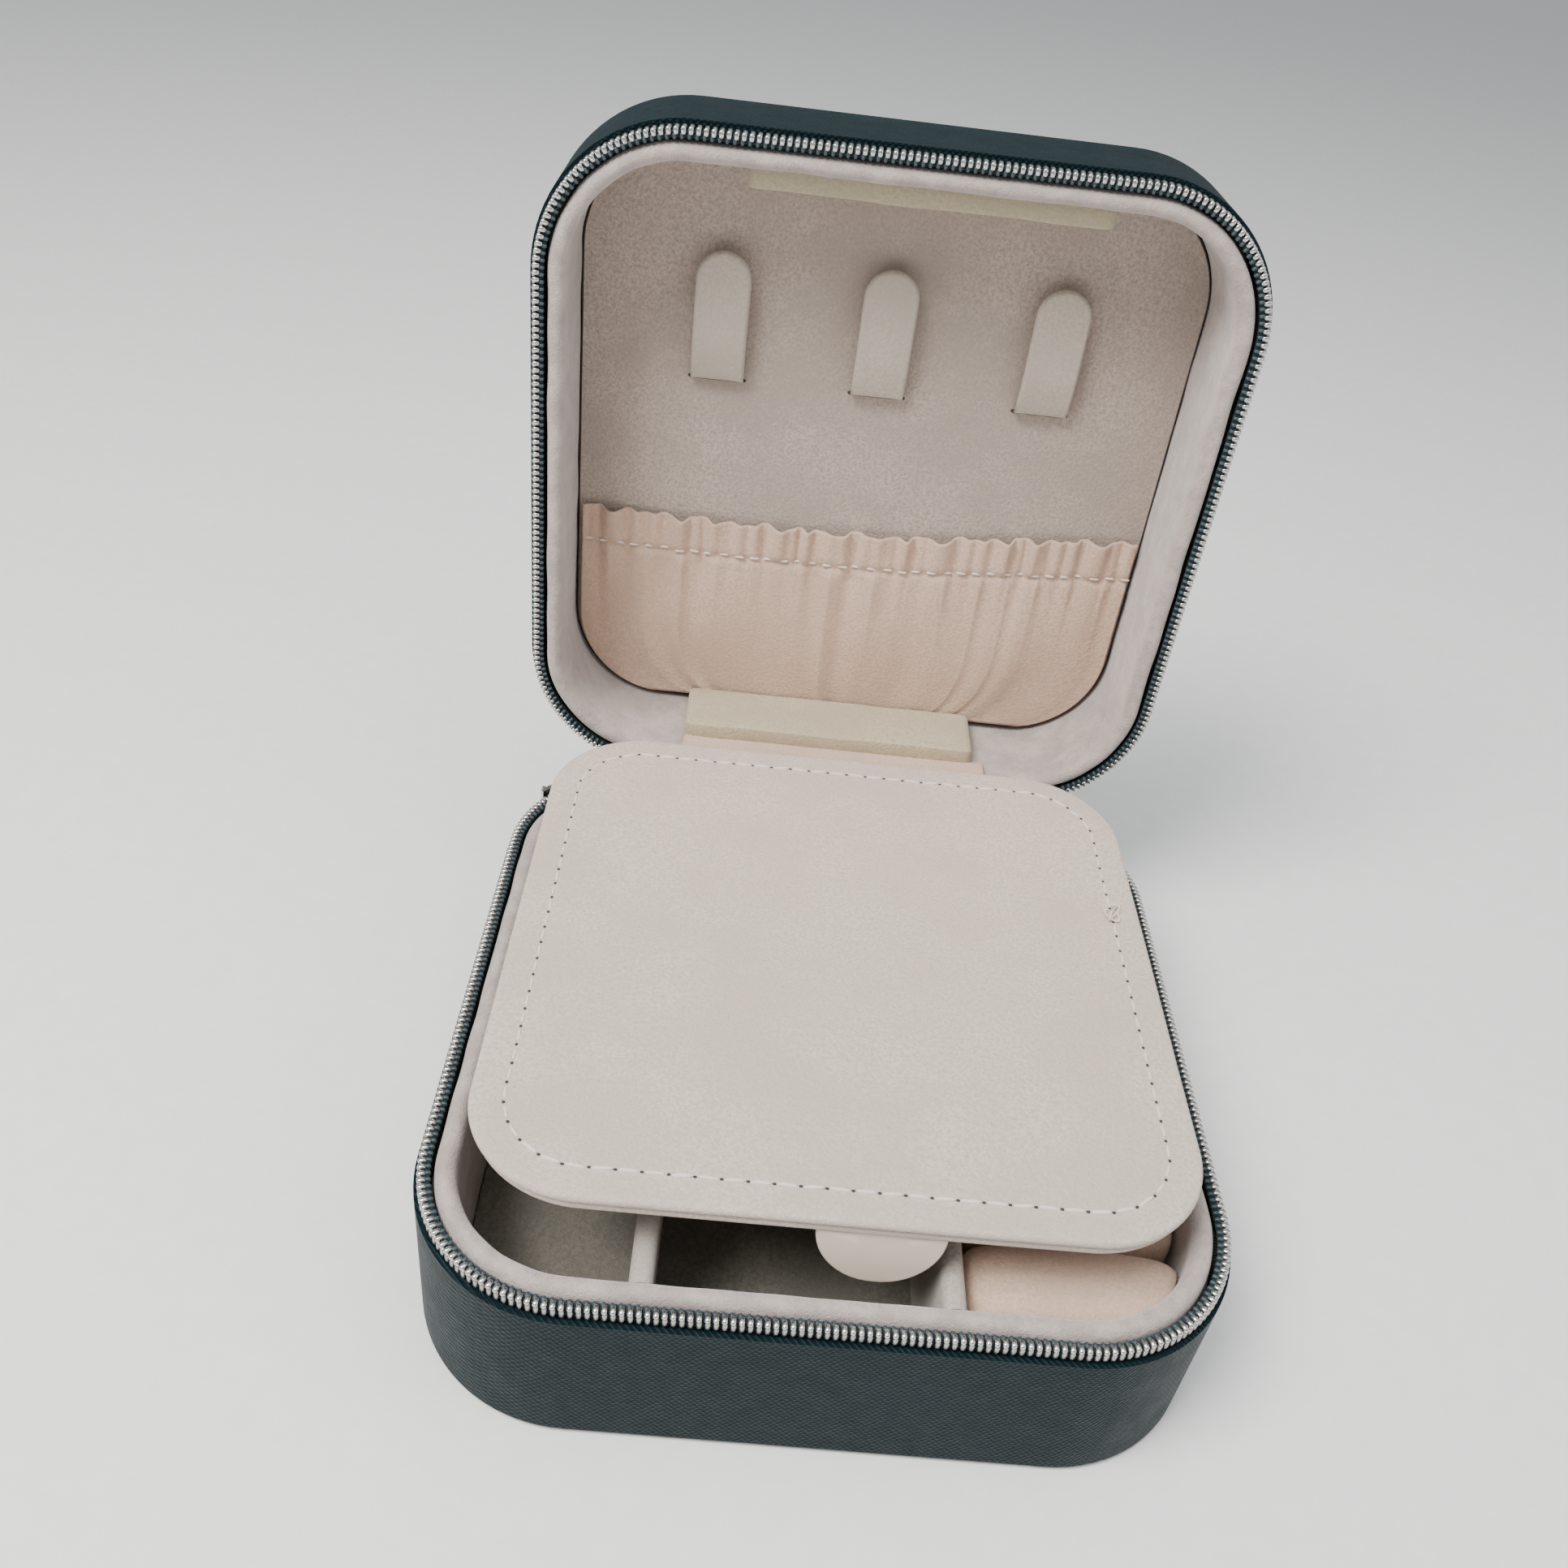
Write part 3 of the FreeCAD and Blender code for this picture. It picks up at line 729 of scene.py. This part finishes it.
def strip(name, line, half_w, thick, look, waves=0.0, nx=60):
    """A thin strip: a curve in the plane of the hinge, smoothed by a running mean, given a thickness and
    drawn out along X with a slow ripple."""
    line = np.array(line)
    t = np.linspace(0, 1, len(line))
    s = np.linspace(0, 1, 40)
    y, z = [np.interp(s, t, line[:, k]) for k in (0, 1)]
    kernel = np.ones(7) / 7
    y[3:-3], z[3:-3] = [np.convolve(w, kernel, "valid") for w in (y, z)]
    d = np.stack([np.gradient(y), np.gradient(z)], 1)
    d /= np.linalg.norm(d, axis=1, keepdims=True)
    off = np.stack([-d[:, 1], d[:, 0]], 1) * thick / 2
    loop = np.vstack([np.stack([y, z], 1) + off, (np.stack([y, z], 1) - off)[::-1]])
    x = np.linspace(-half_w, half_w, nx)
    g = np.zeros((nx, len(loop), 3))
    g[..., 0] = x[:, None]
    g[..., 1:] = loop[None]
    mid = np.sin(np.pi * np.concatenate([s, s[::-1]]))
    ripple = waves * (np.sin(x * 420) + 0.6 * np.sin(x * 777 + 1))[:, None] * mid[None]
    g[..., 2] += ripple
    return build(name, [capped(g)], paint(look), wrap=(False, True))


class JB_OT_hinges(bpy.types.Operator):
    """Build the flap's cloth hinge and the bare fold of the leather spine"""

    bl_idname = "jewelry_box.hinges"
    bl_label = "Cloth hinge and spine fold"

    def execute(self, context):
        # Both pieces are strips along four points: one from the flap's rear edge to the lid's lining, one
        # round the bare corner between the two halves of the spine.
        low, high = [np.array(c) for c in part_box("hinge_cloth")]
        flap_y, lid_y = low[1], high[1]
        flap_z, lid_z = high[2] - 0.00022, low[2] + 0.00022
        line = [
            (flap_y - 0.0004, flap_z),
            (flap_y + 0.0016, flap_z - 0.0006),
            (lid_y - 0.0024, lid_z + 0.0003),
            (lid_y + 0.0004, lid_z),
        ]
        cloth = strip("cloth_hinge", line, 0.0252, 0.00035, "peach", 0.00006)
        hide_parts("hinge_cloth")
        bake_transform(cloth)

        base_low, base_high = [np.array(c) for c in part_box("base_spine")]
        lid_low, lid_high = [np.array(c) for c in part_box("lid_spine")]
        y = (base_low[1] + base_high[1]) / 2
        z = (lid_low[2] + lid_high[2]) / 2
        corner = [
            (y, base_high[2] - 0.0002),
            (y + 0.00005, base_high[2] + 0.0008),
            (lid_low[1] - 0.0008, z - 0.00005),
            (lid_low[1] + 0.0002, z),
        ]
        fold = strip("spine_fold", corner, SPINE_HALF - 0.0001, 0.00078, "leather")
        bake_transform(fold)
        return {"FINISHED"}


class JB_OT_hooks(bpy.types.Operator):
    """Build the three necklace hooks and the slits they are sewn into"""

    bl_idname = "jewelry_box.hooks"
    bl_label = "Necklace hooks"

    def execute(self, context):
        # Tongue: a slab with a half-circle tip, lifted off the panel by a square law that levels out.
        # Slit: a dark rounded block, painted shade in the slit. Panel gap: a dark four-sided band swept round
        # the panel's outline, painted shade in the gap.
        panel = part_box("lid_panel")[0][1]
        for node in ("hook_left", "hook_middle", "hook_right"):
            low, high = [np.array(c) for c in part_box(node)]
            r = (high[0] - low[0]) / 2
            length = high[2] - low[2]
            a = np.linspace(0, np.pi, 21)
            x = np.concatenate([r * np.cos(a), [-r] * 6, [-r * 0.4, r * 0.4], [r] * 6])
            foot = np.linspace(length - r, 0, 7)[1:]
            h = np.concatenate([length - r + r * np.sin(a), foot, [0, 0], foot[::-1]])
            pts = np.stack([x, h], 1)
            grad = np.roll(pts, -1, 0) - np.roll(pts, 1, 0)
            nrm = np.stack([grad[:, 1], -grad[:, 0]], 1)
            nrm /= np.linalg.norm(nrm, axis=1, keepdims=True)
            g = slab(pts, nrm, 0.0, 0.00155, 0.0005, 9)
            up = np.clip(g[..., 1] / length, 0, 1)
            stand = 0.0016 * (1 - (1 - np.clip(up * 2.6, 0, 1)) ** 2) + 0.0002 * np.sin(up * 3)
            x_mid = (low[0] + high[0]) / 2
            g = np.stack([g[..., 0] + x_mid, panel - stand - g[..., 2], low[2] + g[..., 1]], -1)
            finish_piece(build(node + "_tongue", [g], paint("hook")), "lid", "suede_beige", node)
            # The slit is a dark block of painted shade where the tongue goes into the panel.
            slit_mid, slit_half = (x_mid, panel - 0.00003, low[2] - 0.0001), (r + 0.0004, 0.00016, 0.00032)
            slit = superblock(slit_mid, slit_half, 0.4, 20, 12)
            finish_piece(build(node + "_slit_shade", [slit], paint("dark")), "lid", "suede_beige")
        # A dark band round the panel: painted shade in the gap between the panel and the lid's walls.
        p, n = outline(0.0448, 0.0448, 0.0156, 24, 20)
        out, back, front = (0.00012, -0.00008), 41.9 * MM, 41.37 * MM
        ring_profile = np.array([(out[0], front), (out[1], front), (out[1], back), (out[0], back)])
        gap = build("panel_gap_shade", [lid_rest(sweep(p, n, ring_profile))], paint("dark"), wrap=(True, True))
        finish_piece(gap, "lid", "suede_beige")
        return {"FINISHED"}


class JB_OT_pocket(bpy.types.Operator):
    """Build the gathered pocket: a ruffle, an elastic with its stitches and folds that fan down"""

    bl_idname = "jewelry_box.pocket"
    bl_label = "Gathered pocket"

    def execute(self, context):
        # A sheet over width u and height v, in to the lid's corner arcs at its foot. Its lift is a slow
        # belly plus folds: sums of cosines across u that grow above the elastic, fade below it by an
        # exponential, and give way to slanted creases; the elastic is a narrow bell-shaped dip.
        folds = sizes().gathers
        depth = sizes().gather_depth
        nu, nv = 440, 76
        u = np.linspace(0, 1, nu)[:, None]
        v = np.linspace(0, 1, nv)[None, :]
        top = 0.0104 + 0.0006 * np.sin(u * 5.0) - 0.0026 * np.maximum(u - 0.6, 0) / 0.4
        y = top + (0.0438 - top) * v
        elastic = 0.185
        beyond = np.maximum(y - 0.0292, 0)
        limit = np.where(y > 0.0292, 0.0292 + np.sqrt(np.maximum(0.0149**2 - beyond**2, 1e-8)), 0.0441)
        x = (2 * u - 1) * limit
        w = u + 0.006 * np.sin(TAU * 2.3 * u + 0.8) + 0.004 * np.sin(TAU * 5.1 * u)
        fan = np.clip((v - elastic) / (1 - elastic), 0, 1)
        over = np.clip((elastic - v) / elastic, 0, 1)
        coarse = 0.6 * np.cos(TAU * folds * w) + 0.4 * np.cos(TAU * folds * 0.61 * w + 1.7)
        fine = 0.6 * np.cos(TAU * folds * 1.7 * w + 0.6) + 0.4 * np.cos(TAU * folds * 2.3 * w)
        pleat = 1 - 2 * np.abs(np.sin(np.pi * (folds * 0.9 * w + 0.25 * np.sin(TAU * 1.3 * u)))) ** 0.7
        fade = np.exp(-fan * (3.2 + 2.2 * np.sin(TAU * 3.4 * u + 1)))
        below = (0.6 * coarse + 0.5 * pleat) * fade * np.minimum(fan * 9 + 0.4, 1.0)
        slant = u + 0.05 * (fan - 0.3) * np.sin(TAU * 1.4 * u + 0.5)
        crease = np.cos(TAU * 5.3 * slant + 1.1) * np.cos(TAU * 2.1 * slant - 2.4 * fan)
        below = below + 0.55 * crease * np.sin(np.pi * fan) + fine * 0.25 * np.exp(-fan * 6)
        ruffle = coarse * (0.35 + 0.95 * over) + fine * (0.35 + 0.35 * over)
        relief = np.where(v < elastic, ruffle, below) * depth * 0.62
        belly = 0.0007 * np.sin(np.pi * fan) * np.sin(np.pi * u)
        edge = np.minimum(1.0, np.minimum(u, 1 - u) * 30)
        lift = 0.00125 + belly + relief * edge
        waist = 0.0004 * np.exp(-(((v - elastic) / 0.02) ** 2))
        y = y + 0.00022 * over * coarse * edge
        g = np.stack([x + 0 * y, y, 0.0414 - np.maximum(lift - waist, 0.0004)], -1)
        cloth = build("pocket_cloth", [lid_rest(g)], paint("peach"), wrap=(False, False), fix=False)
        solid = cloth.modifiers.new("thickness", "SOLIDIFY")
        solid.thickness = 0.00035
        solid.offset = 0
        finish_piece(cloth, "lid", "suede_peach", "pocket_ruffle", "pocket_elastic", "pocket_body")
        step_u = np.linalg.norm(np.diff(g, axis=0), axis=2)
        step_v = np.linalg.norm(np.diff(g, axis=1), axis=2)
        width = float(step_u.sum(0).max())
        length = float(step_v.sum(1).max())
        area = float((step_u[:, 1:] * step_v[1:, :]).sum())
        area = min(area, width * length * 0.999)
        line = g[:, int(elastic * (nv - 1))]
        s = np.concatenate([[0], np.cumsum(np.linalg.norm(np.diff(line, axis=0), axis=1))])
        at = np.arange(0.001, s[-1], 0.0026)
        c = np.stack([np.interp(at, s, line[:, m]) for m in range(3)], 1)
        n = np.tile([0.0, 1.0], (len(c), 1))
        stitch_half = (0.00082, 0.00020, 0.00022)
        stitches(
            "pocket_stitches", "lid", c[:, :2], n, c[:, 2] - 0.00022, stitch_half, "suede_peach", lid=True
        )
        return {"FINISHED"}


class JB_OT_bars(bpy.types.Operator):
    """Build the two padded suede bars on the lid's walls"""

    bl_idname = "jewelry_box.bars"
    bl_label = "Suede bars"

    def execute(self, context):
        # A squared-off circle (sine and cosine to a low power) drawn along X, narrowed at the ends by a
        # high power of the distance from the middle, and dented by slow sines.
        for node in ("front_bar", "rear_bar"):
            low, high = [np.array(c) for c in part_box(node)]
            mid, half = (low + high) / 2, (high - low) / 2
            a = np.linspace(0, TAU, 33)[:-1]

            def square(w):
                return np.sign(w) * np.abs(w) ** 0.15

            loop = np.stack([square(np.cos(a)) * half[1], square(np.sin(a)) * half[2]], 1)
            t = np.linspace(-1, 1, 60)
            shrink = np.clip((1 - np.abs(t) ** 26), 0, 1) ** 0.5
            g = np.zeros((60, 32, 3))
            g[..., 0] = (mid[0] + t * half[0])[:, None]
            g[..., 1] = mid[1] + loop[None, :, 0] * (0.93 + 0.07 * shrink)[:, None]
            g[..., 2] = mid[2] + loop[None, :, 1] * (0.90 + 0.10 * shrink)[:, None]
            g[..., 2] += wobble(g, 0.008, 0.00008, 2.0)
            obj = build(node + "_pad", [capped(g)], paint("olive"), wrap=(False, True))
            finish_piece(obj, "lid", "suede_olive", node)
        return {"FINISHED"}


class JB_OT_stage(bpy.types.Operator):
    """Lay the pale floor, hang the soft lights and place the camera"""

    bl_idname = "jewelry_box.stage"
    bl_label = "Stage"

    def execute(self, context):
        x = np.linspace(-9, 9, 7)[:, None] + np.zeros((7, 7))
        y = np.linspace(-9, 9, 7)[None, :] + np.zeros((7, 7))
        g = np.stack([x, y, -0.0002 + 0 * x], -1)
        floor = build("floor", [g], paint("floor"), wrap=(False, False), fix=False)
        world = bpy.data.worlds.new("studio")
        world.use_nodes = True
        world.node_tree.nodes["Background"].inputs[0].default_value = (0.94, 0.97, 1.0, 1)
        world.node_tree.nodes["Background"].inputs[1].default_value = 0.46
        context.scene.world = world
        lamps = (
            ("key", (-0.30, -0.22, 0.62), 7.4, 0.30, (1.0, 0.98, 0.95)),
            ("fill", (0.50, -0.20, 0.40), 1.0, 0.50, (0.95, 0.97, 1.0)),
            ("top", (0.05, -0.05, 0.80), 2.6, 0.60, (1.0, 1.0, 1.0)),
        )
        for name, place, power, size, colour in lamps:
            data = bpy.data.lights.new(name, "AREA")
            data.energy = power
            data.size = size
            data.color = colour
            lamp = bpy.data.objects.new(name, data)
            back = np.array(place) - np.array([0, 0.01, 0.04])
            back /= np.linalg.norm(back)
            right = np.cross([0, 0, 1.0], back)
            right /= np.linalg.norm(right)
            up = np.cross(back, right)
            turn = np.eye(4)
            turn[:3, 0], turn[:3, 1], turn[:3, 2], turn[:3, 3] = right, up, back, place
            lamp.matrix_world = Matrix(turn.tolist())
            context.scene.collection.objects.link(lamp)
        data = bpy.data.cameras.new("camera")
        data.sensor_fit = "HORIZONTAL"
        data.angle = math.radians(58.91)
        data.clip_start = 0.01
        camera = bpy.data.objects.new("camera", data)
        forward = np.array([0.04147, 0.80094, -0.59731])
        right = np.array([0.99425, 0.02600, 0.10389])
        right -= forward * (right @ forward)
        right /= np.linalg.norm(right)
        turn = np.eye(4)
        turn[:3, 0], turn[:3, 1], turn[:3, 2] = right, np.cross(right, forward), -forward
        turn[:3, 3] = (-0.01725, -0.13604, 0.16366)
        camera.matrix_world = Matrix(turn.tolist())
        context.scene.collection.objects.link(camera)
        context.scene.camera = camera
        return {"FINISHED"}


OPERATORS = (
    JB_OT_firm_parts, JB_OT_zip, JB_OT_linings, JB_OT_ring_rolls, JB_OT_flap,
    JB_OT_hinges, JB_OT_hooks, JB_OT_pocket, JB_OT_bars, JB_OT_stage,
)


class JB_PT_panel(bpy.types.Panel):
    """Lists the settings and the pieces"""

    bl_idname = "JB_PT_panel"
    bl_label = "Jewelry Box"
    bl_space_type = "VIEW_3D"
    bl_region_type = "UI"
    bl_category = "Jewelry Box"

    def draw(self, context):
        for group in (context.scene.jb_sizes, context.scene.jb_colours):
            for name in group.__annotations__:
                self.layout.prop(group, name)
        for kind in OPERATORS:
            self.layout.operator(kind.bl_idname)


CLASSES = (JB_Colours, JB_Sizes, *OPERATORS, JB_PT_panel)


def register():
    for kind in CLASSES:
        bpy.utils.register_class(kind)
    bpy.types.Scene.jb_colours = bpy.props.PointerProperty(type=JB_Colours)
    bpy.types.Scene.jb_sizes = bpy.props.PointerProperty(type=JB_Sizes)


def unregister():
    del bpy.types.Scene.jb_sizes
    del bpy.types.Scene.jb_colours
    for kind in reversed(CLASSES):
        bpy.utils.unregister_class(kind)


def main():
    register()
    for kind in OPERATORS:
        group, name = kind.bl_idname.split(".")
        getattr(getattr(bpy.ops, group), name)()
    bpy.context.view_layer.update()


if __name__ == "__main__":
    main()
